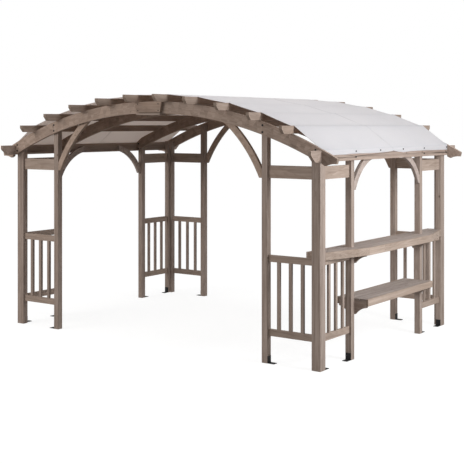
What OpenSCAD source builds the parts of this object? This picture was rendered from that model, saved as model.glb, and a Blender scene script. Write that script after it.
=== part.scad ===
// Garden pergola with an arched roof frame, a cloth canopy, corner railings,
// and a bar counter with a lower shelf along one side.
// X runs along the arches, Y along the purlins, Z up from the ground.
// The origin is on the ground in the middle of the plan.

/* [Plan and heights] */
// Width over the outer faces of the corner posts, along the arches
width = 4090; // [3800:10:4400]
// Depth over the outer faces of the corner posts, along the purlins
depth = 2800; // [2650:10:3000]
// Height of the underside of the eave beams
eave_z = 1964; // [1900:4:2100]

/* [Posts] */
// Side of the square posts
post = 64; // [60:1:70]
// Thickness of the strips planted on the inner faces of the corner posts
strip_t = 32; // [28:1:36]
// Clear width of the front and rear railing panels
front_panel = 500; // [460:2:540]
// Clear width of the side railing panels
side_panel = 494; // [460:2:530]
// Height of the post tops above the eave beams
post_over = 13; // [9:1:15]
// How far the wing post tops stop below the top edge of the arch
wing_cover = 12; // [6:1:30]

/* [Arches] */
// Rise of the arch underside from the outer post faces to the crown
arch_rise = 470; // [440:1:500]
// Height of the arch underside over the eave beam underside, at the outer post faces
arch_lift = 0; // [0:1:8]
// Depth of the arch boards, measured square to the curve
arch_depth = 122; // [116:1:130]
// Thickness of the arch boards
arch_t = 36; // [32:1:40]
// Reach of the arch tails beyond the outer post faces
tail_reach = 202; // [180:1:230]
// Height of the shaped end of an arch tail
tail_nose = 50; // [44:1:58]
// Distance from the outer post face to the start of the hollow cut under a tail
tail_cove = 71; // [64:1:80]
// Height of the hollow cut under an arch tail
tail_hollow = 8; // [5:0.5:11]
// Width of the top edge of the crown splice plates
splice_top = 365; // [340:1:380]
// Width of the bottom edge of the crown splice plates
splice_low = 320; // [300:1:335]
// Height of the crown splice plates
splice_h = 110; // [100:1:112]
// Thickness of the crown splice plates
splice_t = 36; // [24:1:40]

/* [Eave beams] */
// Height of the eave beams
beam_h = 108; // [102:1:116]
// Thickness of the eave beams
beam_t = 36; // [32:1:40]
// Upright part of the beam ends, above the slanted cut
beam_nose = 42; // [34:1:50]
// Length of the slanted cut under the beam ends
beam_slant = 76; // [64:1:96]

/* [Purlins] */
// Purlins on each side of the crown
purlin_pairs = 5; // [5:1:6]
// Distance from the outer post face in to the middle of the last purlin
purlin_inset = 300; // [288:1:316]
// Height of the purlin boards
purlin_h = 76; // [72:1:84]
// Thickness of the purlin boards
purlin_t = 36; // [32:1:40]
// Overhang of the purlins and eave beams beyond the outer post faces
overhang = 226; // [200:1:256]
// Upright part of the purlin ends, above the slanted cut
purlin_nose = 32; // [24:1:40]
// Length of the slanted cut under the purlin ends
purlin_slant = 38; // [28:1:56]

/* [Braces] */
// Width of the curved braces
brace_w = 67; // [60:1:74]
// Thickness of the curved braces
brace_t = 36; // [30:1:38]
// Width of the level foot of an arch brace, beside the wing post
brace_foot = 33; // [26:1:42]
// Height of the arch brace curve, carried on to mid span, over the arch underside
brace_crown = 225; // [200:1:250]
// Overlap of an arch brace on the back of the arch
brace_lap = 92; // [80:1:98]
// Width of the level foot of a side brace, beside the wing post
side_foot = 33; // [26:1:42]
// Height from the side brace feet up to the eave beams
side_drop = 295; // [275:1:315]
// Radius of the hollow edge of the side braces
side_radius = 535; // [500:5:570]
// Height of the top of that circle over the beam underside
side_crown = 18; // [10:1:28]
// Distance from mid depth to the upper end of a side brace
side_end = 322; // [300:1:340]

/* [Rails] */
// Thickness of all rails and balusters
rail_t = 24; // [20:1:28]
// Inset of the rails from the outer post faces
rail_inset = 20; // [17:1:22]
// Height of the cross rails at the heads of the corners
cross_h = 124; // [112:1:132]
// Drop from the eave beams to the underside of the cross rails
cross_drop = 168; // [156:1:180]
// Height of the top of the railings
rail_top = 1052; // [1000:1:1100]
// Height of the railing top and bottom rails
rail_h = 68; // [60:1:76]
// Height of the underside of the bottom rails
rail_low = 266; // [230:1:300]
// Balusters in each railing panel
balusters = 3; // [2:1:4]
// Width of the balusters
baluster_w = 36; // [30:1:42]

/* [Counter and shelf] */
// Reach of the counter and the shelf beyond the outer post faces
bar_reach = 155; // [140:1:175]
// Reach of the counter inside the inner post faces
counter_in = 121; // [112:1:130]
// Reach of the shelf inside the inner post faces
shelf_in = 131; // [120:1:140]
// Thickness of the deck boards
deck_t = 22; // [18:1:25]
// Deck boards side by side on the counter and on the shelf
deck_rows = 4; // [3:1:5]
// Gap between deck boards
deck_gap = 4; // [3:0.5:6]
// Height of the battens under the deck boards
batten_h = 33; // [28:1:38]
// Width of the battens under the deck boards
batten_w = 38; // [32:1:44]
// Thickness of the edge boards round the decks
edge_t = 22; // [18:1:25]
// Height of the counter edge boards
counter_edge = 75; // [68:1:82]
// Height of the shelf edge boards
shelf_edge = 69; // [62:1:76]
// Height of the top of the shelf
shelf_top = 602; // [570:1:640]
// Distance from the wing post inward to the bend in the counter outer edge
bend_set = 26; // [22:1:32]
// Height of the scrolled corbels
corbel_h = 137; // [126:1:148]
// Height of the corbel ends below the deck
corbel_nose = 63; // [58:1:70]
// Thickness of the corbels
corbel_t = 36; // [30:1:40]
// Level foot of a corbel past each post face, before the hollow starts
corbel_foot = 5; // [3:1:8]

/* [Canopy] */
// Thickness of the cloth
cloth_t = 2; // [1.5:0.1:2.5]
// Sag of the cloth between two purlins
cloth_sag = 3; // [2:0.5:6]
// Sag of the cloth from the last purlin to the eave beam
eave_sag = 3; // [2:0.5:6]
// Depth of the hem on the outer face of the eave beam
hem_h = 44; // [38:1:52]
// Reach of the cloth beyond the outer post faces, along the purlins
cloth_reach = 14; // [8:1:20]
// Distance in from the outer post face to the notch in the cloth round an arch tail
cloth_notch = 30; // [24:1:40]

/* [Fixings] */
// Radius of the bolt shanks
bolt_r = 4; // [3:0.5:5]
// Radius of the bolt heads
head_r = 9; // [7:0.5:10]
// Height of the bolt heads
head_h = 5; // [4:0.5:7]
// Depth to which the bolts enter the posts
bolt_depth = 30; // [24:1:40]
// Half the spacing of the two bolts in a pair
bolt_half = 33; // [28:1:36]
// Radius of the small screw heads
screw_r = 6; // [5:0.5:7]
// Height of the small screw heads
screw_h = 3; // [2:0.5:4]
// Length of the foot plates on the ground
foot_len = 75; // [66:1:84]
// Width of the foot brackets
foot_w = 56; // [50:1:60]
// Height of the upright leg of the foot brackets
foot_h = 70; // [60:1:80]
// Thickness of the foot bracket steel
foot_t = 5; // [4:0.5:6]
// Radius of the anchor holes in the foot plates
anchor_r = 6; // [5:0.5:7]
// Distance from the post face to the anchor holes
anchor_out = 48; // [42:1:54]
// Distance between the two anchor holes of a foot plate
anchor_gap = 30; // [26:1:34]

/* [Hidden] */
// Clearance between pieces that slide or lie loosely together
fit = 0.3;
// Clearance of the bolts in their bores
bore_fit = 0.3;
// Drop of the bolt pairs below the middle of the arch, outer and inner arches
pair_drop = 3;
inner_pair_drop = 21;
// Room kept under the straight line of the cloth near the eaves
cloth_room = 22;
// Segments in one sag of the cloth
sag_steps = 6;

half_w = width / 2;
half_d = depth / 2;
post_top = eave_z + beam_h + post_over;
corner_c = half_w - post / 2;
corner_cy = half_d - post / 2;
strip_x = half_w - post - strip_t;
strip_y = half_d - post - strip_t;
wing_out = strip_x - front_panel;
wing_in = wing_out - post;
side_out = strip_y - side_panel;
side_in = side_out - post;

// Arch circle through the two outer post faces and the crown
spring_z = eave_z + arch_lift;
crown_z = spring_z + arch_rise;
arc_in = (half_w * half_w + arch_rise * arch_rise) / (2 * arch_rise);
arc_out = arc_in + arch_depth;
arc_z = crown_z - arc_in;
function arch_low(x) = arc_z + sqrt(arc_in * arc_in - x * x);
function arch_top(x) = arc_z + sqrt(arc_out * arc_out - x * x);
function arch_mid(x) = (arch_low(x) + arch_top(x)) / 2;
wing_top = arch_top(wing_out) - wing_cover;
inner_y = side_in - arch_t;

// Hollow under the arch tails: a circle through the start of the cut and the nose
tail_x = half_w + tail_reach;
tail_back = 11;
tail_face = 10;
cove_a = [half_w + tail_cove, arch_low(half_w + tail_cove)];
cove_b = [tail_x - tail_back, arch_top(tail_x) - tail_nose];
cove_d = norm(cove_b - cove_a);
cove_r = (cove_d * cove_d / 4 + tail_hollow * tail_hollow) / (2 * tail_hollow);
cove_n = [cove_b[1] - cove_a[1], cove_a[0] - cove_b[0]] / cove_d;
cove_c = (cove_a + cove_b) / 2 + cove_n * (cove_r - tail_hollow);

// Eave beams lie on the outer post faces and are half lapped with the outer arches
beam_out = half_w + beam_t;
beam_top = eave_z + beam_h;
beam_len = half_d + overhang;
lap_z = eave_z + beam_h / 2;

// Purlins stand at even steps along the curve, in level seats cut in the arch tops
last_purlin = half_w - purlin_inset;
purlin_step = asin(last_purlin / arc_out) / (purlin_pairs - 0.5);
function purlin_x(i) = arc_out * sin(purlin_step * (i + 0.5));
function seat_z(i) = arch_top(purlin_x(i));
function purlin_top(i) = seat_z(i) + purlin_h;

// Straight line of the cloth from the last purlin to the eave beam
cloth_from = [last_purlin + purlin_t / 2, purlin_top(purlin_pairs - 1)];
cloth_to = [beam_out, beam_top];
cloth_slope = (cloth_to[1] - cloth_from[1]) / (cloth_to[0] - cloth_from[0]);
function cloth_line(x) = cloth_from[1] + (x - cloth_from[0]) * cloth_slope;

cross_z = eave_z - cross_drop;

// Counter outline
counter_z = rail_top + batten_h + deck_t;
bar_out = half_w + bar_reach;
bar_inner = bar_out - edge_t;
counter_x = half_w - post - counter_in;
counter_y = half_d - rail_inset - rail_t - 6;
bend_y = side_in - bend_set;
edge_run = [half_w - bar_out, strip_y - bend_y];
edge_dir = edge_run / norm(edge_run);
edge_off = [bar_out - edge_dir[1] * edge_t, bend_y + edge_dir[0] * edge_t];
function edge_x(y) = edge_off[0] + (y - edge_off[1]) * edge_dir[0] / edge_dir[1];
mitre_y = edge_off[1] + (bar_inner - edge_off[0]) * edge_dir[1] / edge_dir[0];
deck_joint = side_in - corbel_t / 2;
deck_end_y = counter_y - edge_t;

shelf_x = half_w - post - shelf_in;

// Mirrors a piece drawn in the right rear quarter into any of the four quarters
module quarter(left, front) {
  if (left && front) mirror([1, 0, 0]) mirror([0, 1, 0]) children();
  else if (left) mirror([1, 0, 0]) children();
  else if (front) mirror([0, 1, 0]) children();
  else children();
}

module both_ends() {
  children();
  mirror([0, 1, 0]) children();
}

module both_sides() {
  children();
  mirror([1, 0, 0]) children();
}

module four_corners() {
  both_ends() both_sides() children();
}

// Upright slab of a profile drawn in X and Z, from y to y + t
module slab_xz(y, t) {
  translate([0, y + t, 0]) rotate([90, 0, 0]) linear_extrude(height = t) children();
}

// Upright slab of a profile drawn in Y and Z, from x to x + t
module slab_yz(x, t) {
  translate([x, 0, 0]) rotate([90, 0, 90]) linear_extrude(height = t) children();
}

// Box between two corners
module block(a, b) {
  translate(a) cube(b - a);
}

module wood() { color([0.55, 0.49, 0.44]) children(); }
module wood_light() { color([0.66, 0.60, 0.55]) children(); }
module steel() { color([0.10, 0.10, 0.11]) children(); }

// Bolt with its head outward along +Z and its shank down from the origin
module bolt(into) {
  cylinder(r = head_r, h = head_h, $fn = 14);
  translate([0, 0, -into]) cylinder(r = bolt_r, h = into + 1, $fn = 14);
}

module bore(into) {
  translate([0, 0, -into - 2]) cylinder(r = bolt_r + bore_fit, h = into + 4, $fn = 14);
}

// Places along the outer face of an outer arch, pointing away from the frame
module outer_bolt_places() {
  for (x = [(wing_in + wing_out) / 2, corner_c])
    for (s = [-1, 1])
      translate([x, half_d + arch_t, arch_mid(x) - pair_drop + s * bolt_half])
        rotate([-90, 0, 0]) children();
}

// Places on the middle face of an inner arch, pointing to mid depth
module inner_bolt_places() {
  for (s = [-1, 1])
    translate([corner_c, inner_y, arch_mid(corner_c) - inner_pair_drop + s * bolt_half])
      rotate([90, 0, 0]) children();
}

// Places on the outer face of an eave beam, one at each post
module beam_bolt_places() {
  for (y = [(side_in + side_out) / 2, corner_cy])
    translate([beam_out, y, eave_z + bolt_half]) rotate([0, 90, 0]) children();
}

// Corner post, drawn at the right rear
module corner_post() {
  wood() difference() {
    block([half_w - post, half_d - post, 0], [half_w, half_d, post_top]);
    outer_bolt_places() bore(arch_t + bolt_depth);
    beam_bolt_places() bore(beam_t + bolt_depth);
  }
}

// Two strips that leave a square notch at the inner corner of the post
module corner_strips() {
  wood() {
    block([strip_x, half_d - post, 0], [half_w - post, half_d, post_top]);
    block([half_w - post, strip_y, 0], [half_w, half_d - post, post_top]);
  }
}

module wing_post() {
  wood() difference() {
    block([wing_in, half_d - post, 0], [wing_out, half_d, wing_top]);
    outer_bolt_places() bore(arch_t + bolt_depth);
  }
}

module side_post() {
  wood() difference() {
    block([half_w - post, side_in, 0], [half_w, side_out, post_top]);
    inner_bolt_places() bore(arch_t + bolt_depth);
    beam_bolt_places() bore(beam_t + bolt_depth);
  }
}

// Curved board from the crown joint to x_end, with flat seats for the purlins
module arch_band(x_end) {
  difference() {
    intersection() {
      translate([0, arc_z]) difference() {
        circle(r = arc_out, $fn = 240);
        circle(r = arc_in, $fn = 240);
      }
      translate([0, spring_z - 300]) square([x_end, arch_rise + 600]);
    }
    for (i = [0 : purlin_pairs - 1])
      translate([purlin_x(i) - purlin_t / 2 - fit, seat_z(i)])
        square([purlin_t + 2 * fit, purlin_h]);
  }
}

// Material removed below the shaped tail
module tail_cut() {
  translate(cove_c) circle(r = cove_r, $fn = 120);
  polygon([
    cove_b,
    [tail_x, arch_top(tail_x) - tail_face],
    [tail_x + 50, arch_top(tail_x) - tail_face],
    [tail_x + 50, cove_b[1] - 200],
    [cove_b[0], cove_b[1] - 200]
  ]);
}

module outer_arch() {
  wood() difference() {
    slab_xz(half_d, arch_t) difference() {
      arch_band(tail_x);
      tail_cut();
      // Lower half of the lap joint with the eave beam
      translate([half_w - fit, spring_z - 200]) square([beam_t + 2 * fit, lap_z - spring_z + 200]);
    }
    outer_bolt_places() bore(arch_t + bolt_depth);
  }
}

module inner_arch() {
  wood() difference() {
    slab_xz(inner_y, arch_t) difference() {
      arch_band(half_w);
      // Splay that keeps the end of the board below the cloth
      polygon([
        [half_w - 300, cloth_line(half_w - 300) - cloth_room],
        [half_w + 10, cloth_line(half_w + 10) - cloth_room],
        [half_w + 10, crown_z + 300],
        [half_w - 300, crown_z + 300]
      ]);
    }
    inner_bolt_places() bore(arch_t + bolt_depth);
  }
}

// Trapezoid plate over the crown joint
module splice_outline() {
  z = (crown_z + crown_z + arch_depth - splice_h) / 2;
  polygon([
    [-splice_low / 2, z], [splice_low / 2, z],
    [splice_top / 2, z + splice_h], [-splice_top / 2, z + splice_h]
  ]);
}

module splice_plates() {
  wood() both_ends() {
    slab_xz(half_d + arch_t, splice_t) splice_outline();
    slab_xz(inner_y - splice_t, splice_t) splice_outline();
  }
}

// Board on edge with an upright nose and a slanted cut below it
module nosed_board(len, top, h, nose, slant) {
  polygon([
    [-len, top], [-len, top - nose], [slant - len, top - h],
    [len - slant, top - h], [len, top - nose], [len, top]
  ]);
}

module eave_beam() {
  wood() difference() {
    slab_yz(half_w, beam_t) difference() {
      nosed_board(beam_len, beam_top, beam_h, beam_nose, beam_slant);
      for (s = [-1, 1])
        translate([s * (half_d + arch_t / 2) - arch_t / 2 - fit, lap_z])
          square([arch_t + 2 * fit, beam_h]);
    }
    both_ends() beam_bolt_places() bore(beam_t + bolt_depth);
  }
}

module purlin_pair(i) {
  wood() both_sides() slab_yz(purlin_x(i) - purlin_t / 2, purlin_t)
    nosed_board(beam_len, purlin_top(i), purlin_h, purlin_nose, purlin_slant);
}

// Curved band of width w outside a circle of radius r
module curve_band(centre, r, w) {
  translate(centre) difference() {
    circle(r = r + w, $fn = 180);
    circle(r = r, $fn = 180);
  }
}

// Brace from the wing post up to the back of the outer arch
module arch_brace() {
  a = wing_in - brace_foot;
  rise = crown_z + brace_crown - cross_z;
  r = (a * a + rise * rise) / (2 * rise);
  wood() slab_xz(half_d - brace_t, brace_t) intersection() {
    curve_band([0, cross_z + rise - r], r, brace_w);
    translate([0, cross_z]) square([wing_in, crown_z]);
    translate([0, arc_z]) circle(r = arc_in + brace_lap, $fn = 240);
  }
}

// Brace from the side wing post up to the inner face of the eave beam
module side_brace() {
  foot = eave_z - side_drop;
  low = side_drop + side_crown - side_radius;
  centre = [side_in - side_foot - sqrt(side_radius * side_radius - low * low), foot + low];
  wood() slab_yz(half_w - brace_t, brace_t) intersection() {
    curve_band(centre, side_radius, brace_w);
    translate([side_end, foot]) square([side_in - side_end, side_drop + beam_h]);
  }
}

// Boards between the corner strips and the wing posts, at one corner
module cross_rails() {
  rail_pair(cross_z, cross_h);
}

module rail_pair(z, h) {
  wood() {
    block([wing_out, half_d - rail_inset - rail_t, z], [strip_x, half_d - rail_inset, z + h]);
    block([half_w - rail_inset - rail_t, side_out, z], [half_w - rail_inset, strip_y, z + h]);
  }
}

// Top and bottom rails of the two railing panels at one corner
module railing() {
  rail_pair(rail_top - rail_h, rail_h);
  rail_pair(rail_low, rail_h);
}

// Balusters of the two railing panels at one corner, spaced evenly
module baluster_set() {
  z0 = rail_low + rail_h;
  z1 = rail_top - rail_h;
  gap_f = (front_panel - balusters * baluster_w) / (balusters + 1);
  gap_s = (side_panel - balusters * baluster_w) / (balusters + 1);
  wood() for (k = [0 : balusters - 1]) {
    x = wing_out + gap_f + k * (gap_f + baluster_w);
    y = side_out + gap_s + k * (gap_s + baluster_w);
    block([x, half_d - rail_inset - rail_t, z0], [x + baluster_w, half_d - rail_inset, z1]);
    block([half_w - rail_inset - rail_t, y, z0], [half_w - rail_inset, y + baluster_w, z1]);
  }
}

// Area inside the edge boards of one half of the counter
module counter_field() {
  difference() {
    polygon([
      [counter_x + edge_t, 0], [bar_inner, 0], [bar_inner, mitre_y],
      [edge_x(strip_y - fit), strip_y - fit], [half_w - post - fit, strip_y - fit],
      [half_w - post - fit, deck_end_y], [counter_x + edge_t, deck_end_y]
    ]);
    // Notch round the wing post
    translate([half_w - post - fit, side_in - fit]) square([post + 2 * fit, post + 2 * fit]);
  }
}

module deck_strips(x0, x1, y0, y1) {
  w = (x1 - x0 - (deck_rows - 1) * deck_gap) / deck_rows;
  for (k = [0 : deck_rows - 1])
    translate([x0 + k * (w + deck_gap), y0]) square([w, y1 - y0]);
}

module counter_boards() {
  x0 = counter_x + edge_t;
  wood_light() translate([0, 0, counter_z - deck_t]) {
    linear_extrude(height = deck_t)
      deck_strips(x0, bar_inner, fit - deck_joint, deck_joint - fit);
    both_ends() linear_extrude(height = deck_t) intersection() {
      deck_strips(x0, bar_inner, deck_joint + fit, half_d);
      counter_field();
    }
  }
}

// Edge boards round the counter, mitred at the bends and butted at the posts
module counter_edges() {
  end_x = counter_x + edge_t + fit;
  wood_light() translate([0, 0, counter_z - counter_edge]) {
    linear_extrude(height = counter_edge) polygon([
      [bar_inner, -mitre_y], [bar_out, -bend_y], [bar_out, bend_y], [bar_inner, mitre_y]
    ]);
    translate([counter_x, -counter_y]) cube([edge_t, 2 * counter_y, counter_edge]);
    both_ends() {
      linear_extrude(height = counter_edge) intersection() {
        polygon([
          [bar_out, bend_y + fit], [half_w + fit, strip_y - fit],
          [edge_x(strip_y - fit), strip_y - fit], [bar_inner, mitre_y + fit]
        ]);
        translate([half_w - rail_inset + fit, 0]) square([bar_reach + rail_inset, half_d]);
      }
      translate([end_x, deck_end_y]) cube([strip_x - fit - end_x, edge_t, counter_edge]);
    }
  }
}

module counter_batten(y) {
  translate([0, 0, rail_top]) linear_extrude(height = batten_h) intersection() {
    translate([counter_x, y]) square([bar_out - counter_x, batten_w]);
    counter_field();
  }
}

// Battens across the counter: three on each side railing and three between the corbels
module counter_battens() {
  y0 = side_out + fit;
  y1 = strip_y - fit - batten_w;
  ym = deck_joint / 2;
  wood() {
    both_ends() {
      counter_batten(y0);
      counter_batten((y0 + y1) / 2);
      counter_batten(y1 - 2);
      counter_batten(ym - batten_w / 2);
    }
    block([counter_x + edge_t, -batten_w / 2, rail_top], [bar_inner, batten_w / 2, rail_top + batten_h]);
  }
}

module shelf_boards() {
  wood_light() translate([0, 0, shelf_top - deck_t]) linear_extrude(height = deck_t)
    deck_strips(shelf_x + edge_t, bar_inner, fit - side_in, side_in - fit);
}

module shelf_edges() {
  z = shelf_top - shelf_edge;
  wood_light() {
    block([bar_inner, -side_in, z], [bar_out, side_in, shelf_top]);
    block([shelf_x, -side_in, z], [shelf_x + edge_t, side_in, shelf_top]);
  }
}

module shelf_battens() {
  z = shelf_top - deck_t - batten_h;
  wood() for (y = [-side_in / 2, 0, side_in / 2])
    block([shelf_x + edge_t, y - batten_w / 2, z], [bar_inner, y + batten_w / 2, z + batten_h]);
}

// One hollow of a corbel, from the post foot out to the edge board line
module corbel_hollow(from, to, top) {
  dx = abs(to - from);
  dz = corbel_h - corbel_nose;
  r = (dx * dx + dz * dz) / (2 * dz);
  translate([to, top - corbel_nose - r]) circle(r = r, $fn = 96);
}

// Scrolled corbel across a wing post, hollowed on both sides of it
module corbel(x0, x1, cut0, cut1, top) {
  wood() slab_xz(side_in - corbel_t, corbel_t) difference() {
    translate([x0, top - corbel_h]) square([x1 - x0, corbel_h]);
    corbel_hollow(half_w + corbel_foot, cut1, top);
    corbel_hollow(half_w - post - corbel_foot, cut0, top);
  }
}

module corbels() {
  both_ends() {
    corbel(counter_x + edge_t, edge_x(side_in) - fit, counter_x, bar_out, counter_z - deck_t);
    corbel(shelf_x + edge_t, bar_inner, shelf_x, bar_out, shelf_top - deck_t);
  }
}

// Points of a sagging run from a to b, without the last one
function sag_run(a, b, s) = [
  for (k = [0 : sag_steps - 1])
    let (t = k / sag_steps)
    [a[0] + (b[0] - a[0]) * t, a[1] + (b[1] - a[1]) * t - 4 * s * t * (1 - t)]
];

// Underside of the cloth to the right of the crown
cloth_half = concat(
  [for (k = [0 : 2]) let (t = 0.5 + k / 6)
    [(2 * t - 1) * (purlin_x(0) - purlin_t / 2), purlin_top(0) - 4 * cloth_sag * t * (1 - t)]],
  [for (i = [0 : purlin_pairs - 2]) each concat(
    [[purlin_x(i) - purlin_t / 2, purlin_top(i)]],
    sag_run(
      [purlin_x(i) + purlin_t / 2, purlin_top(i)],
      [purlin_x(i + 1) - purlin_t / 2, purlin_top(i + 1)],
      cloth_sag
    )
  )],
  [[last_purlin - purlin_t / 2, cloth_from[1]]],
  sag_run(cloth_from, cloth_to, eave_sag)
);

cloth_n = len(cloth_half);
function cloth_under(s) = [for (p = cloth_half) [s * p[0], p[1] + fit]];
function backward(list) = [for (k = [len(list) - 1 : -1 : 0]) list[k]];

// One piece of cloth over all purlins, with a hem down each eave beam
module canopy() {
  hx = beam_out + fit;
  hz = beam_top + fit;
  low = concat(
    [[-hx, hz - hem_h], [-hx, hz]], backward(cloth_under(-1)),
    [for (k = [1 : cloth_n - 1]) cloth_under(1)[k]], [[hx, hz], [hx, hz - hem_h]]
  );
  high = concat(
    [[hx + cloth_t, hz - hem_h], [hx + cloth_t, hz + cloth_t]],
    [for (k = [len(low) - 3 : -1 : 2]) [low[k][0], low[k][1] + cloth_t]],
    [[-hx - cloth_t, hz + cloth_t], [-hx - cloth_t, hz - hem_h]]
  );
  reach = half_d + cloth_reach;
  color([0.86, 0.86, 0.88]) difference() {
    slab_xz(-reach, 2 * reach) polygon(concat(low, high));
    // Notches at the corners, where the arch tails pass
    four_corners()
      block([half_w - cloth_notch, half_d - fit, eave_z - 100], [half_w + 200, reach + 10, crown_z]);
  }
}

module canopy_screws() {
  steel() both_sides() both_ends()
    for (y = [(side_in + side_out) / 6, (side_in + side_out) / 2, corner_cy + 8])
      translate([beam_out + fit + cloth_t, y, beam_top - hem_h / 2 + 4])
        rotate([0, 90, 0]) cylinder(r = screw_r, h = screw_h, $fn = 14);
}

// Steel angle with its leg on the plane x = 0 and its plate on the ground
module foot_bracket() {
  difference() {
    union() {
      block([0, -foot_w / 2, 0], [foot_t, foot_w / 2, foot_h]);
      block([0, -foot_w / 2, 0], [foot_len, foot_w / 2, foot_t]);
    }
    for (s = [-1, 1])
      translate([anchor_out, s * anchor_gap / 2, -1])
        cylinder(r = anchor_r, h = foot_t + 2, $fn = 16);
  }
}

// Places of the three foot brackets of one quarter
module foot_places() {
  translate([corner_c, strip_y, 0]) rotate([0, 0, -90]) children();
  translate([wing_out, corner_cy, 0]) children();
  translate([corner_c, side_out, 0]) rotate([0, 0, 90]) children();
}

module foot_brackets() {
  steel() four_corners() foot_places() foot_bracket();
}

module foot_screws() {
  steel() four_corners() foot_places()
    for (s = [-1, 1])
      translate([foot_t, s * anchor_gap / 2, foot_h * 0.6])
        rotate([0, 90, 0]) cylinder(r = screw_r, h = screw_h, $fn = 14);
}

module arch_bolts() {
  steel() four_corners() {
    outer_bolt_places() bolt(arch_t + bolt_depth);
    inner_bolt_places() bolt(arch_t + bolt_depth);
  }
}

module beam_bolts() {
  steel() four_corners() beam_bolt_places() bolt(beam_t + bolt_depth);
}

module splice_screws() {
  steel() both_ends() for (s = [-1, 1]) for (k = [-1, 1]) {
    x = s * (splice_low / 2 - 22);
    z = crown_z + arch_depth / 2 + k * (splice_h / 2 - 20);
    translate([x, half_d + arch_t + splice_t, z])
      rotate([-90, 0, 0]) cylinder(r = screw_r, h = screw_h, $fn = 14);
    translate([x, inner_y - splice_t, z])
      rotate([90, 0, 0]) cylinder(r = screw_r, h = screw_h, $fn = 14);
  }
}

quarter(true, true) corner_post();  // corner_post_fl
quarter(false, true) corner_post();  // corner_post_fr
quarter(true, false) corner_post();  // corner_post_rl
quarter(false, false) corner_post();  // corner_post_rr
quarter(true, true) corner_strips();  // corner_strips_fl
quarter(false, true) corner_strips();  // corner_strips_fr
quarter(true, false) corner_strips();  // corner_strips_rl
quarter(false, false) corner_strips();  // corner_strips_rr
quarter(true, true) wing_post();  // wing_post_fl
quarter(false, true) wing_post();  // wing_post_fr
quarter(true, false) wing_post();  // wing_post_rl
quarter(false, false) wing_post();  // wing_post_rr
quarter(true, true) side_post();  // side_post_fl
quarter(false, true) side_post();  // side_post_fr
quarter(true, false) side_post();  // side_post_rl
quarter(false, false) side_post();  // side_post_rr
quarter(true, true) outer_arch();  // arch_front_l
quarter(false, true) outer_arch();  // arch_front_r
quarter(true, false) outer_arch();  // arch_rear_l
quarter(false, false) outer_arch();  // arch_rear_r
quarter(true, true) inner_arch();  // arch_mid_front_l
quarter(false, true) inner_arch();  // arch_mid_front_r
quarter(true, false) inner_arch();  // arch_mid_rear_l
quarter(false, false) inner_arch();  // arch_mid_rear_r
splice_plates();
quarter(true, false) eave_beam();  // eave_beam_l
quarter(false, false) eave_beam();  // eave_beam_r
purlin_pair(0);  // purlins_crown
purlin_pair(1);  // purlins_second
purlin_pair(2);  // purlins_third
for (i = [3 : purlin_pairs - 2]) purlin_pair(i);  // purlins_fourth
purlin_pair(purlin_pairs - 1);  // purlins_eave
both_sides() mirror([0, 1, 0]) arch_brace();  // arch_braces_front
both_sides() arch_brace();  // arch_braces_rear
both_ends() mirror([1, 0, 0]) side_brace();  // side_braces_l
both_ends() side_brace();  // side_braces_r
quarter(true, true) cross_rails();  // cross_rails_fl
quarter(false, true) cross_rails();  // cross_rails_fr
quarter(true, false) cross_rails();  // cross_rails_rl
quarter(false, false) cross_rails();  // cross_rails_rr
quarter(true, true) railing();  // railing_fl
quarter(false, true) railing();  // railing_fr
quarter(true, false) railing();  // railing_rl
quarter(false, false) railing();  // railing_rr
both_ends() mirror([1, 0, 0]) baluster_set();  // balusters_l
both_ends() baluster_set();  // balusters_r
counter_boards();
counter_edges();
counter_battens();
shelf_boards();
shelf_edges();
shelf_battens();
corbels();
canopy();
canopy_screws();
foot_brackets();
foot_screws();
arch_bolts();
beam_bolts();
splice_screws();
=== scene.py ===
import math

import bmesh
import bpy
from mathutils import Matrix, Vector, noise

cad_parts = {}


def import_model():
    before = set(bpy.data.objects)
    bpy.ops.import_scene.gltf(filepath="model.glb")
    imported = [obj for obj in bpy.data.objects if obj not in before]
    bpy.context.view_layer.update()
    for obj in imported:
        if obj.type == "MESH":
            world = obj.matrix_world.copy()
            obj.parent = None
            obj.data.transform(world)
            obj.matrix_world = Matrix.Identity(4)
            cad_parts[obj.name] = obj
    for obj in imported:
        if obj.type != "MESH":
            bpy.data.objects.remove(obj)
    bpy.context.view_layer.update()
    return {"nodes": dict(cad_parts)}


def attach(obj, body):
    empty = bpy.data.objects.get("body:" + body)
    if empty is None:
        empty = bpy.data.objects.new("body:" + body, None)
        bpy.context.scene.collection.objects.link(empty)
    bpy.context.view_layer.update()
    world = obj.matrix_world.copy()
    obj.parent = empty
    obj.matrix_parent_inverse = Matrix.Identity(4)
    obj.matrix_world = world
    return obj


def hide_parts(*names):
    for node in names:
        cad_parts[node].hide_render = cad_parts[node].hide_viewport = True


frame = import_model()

NODES = frame["nodes"]

# Driving sizes of the pergola in metres, for the pieces and materials made here
HALF_W = 2.045  # middle to the outer faces of the corner posts, along X
HALF_D = 1.400  # the same along Y
BOARD = 0.036  # thickness of the arches and the eave beams
ARCH_H = 0.122  # depth of the arch boards
CROWN_Z = 2.434  # underside of the arches at the crown
RISE = 0.470  # how far that underside rises from the post faces to the crown
PURLIN_T = 0.036
PURLIN_H = 0.076
PURLIN_PAIRS = 5
PURLIN_END_X = 1.745  # where the outermost purlins stand
BEAM_TOP = 2.072
INNER_ARCH_Y = 0.710  # faces of the inner arches towards the middle
FIT = 0.0003  # gap between the cloth and the timber

ARC_IN = (HALF_W * HALF_W + RISE * RISE) / (2 * RISE)
ARC_OUT = ARC_IN + ARCH_H
ARC_MID = ARC_IN + ARCH_H / 2
ARC_Z = CROWN_Z - ARC_IN
PURLIN_STEP = math.asin(PURLIN_END_X / ARC_OUT) / (PURLIN_PAIRS - 0.5)
BEAM_OUT = HALF_W + BOARD

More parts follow.
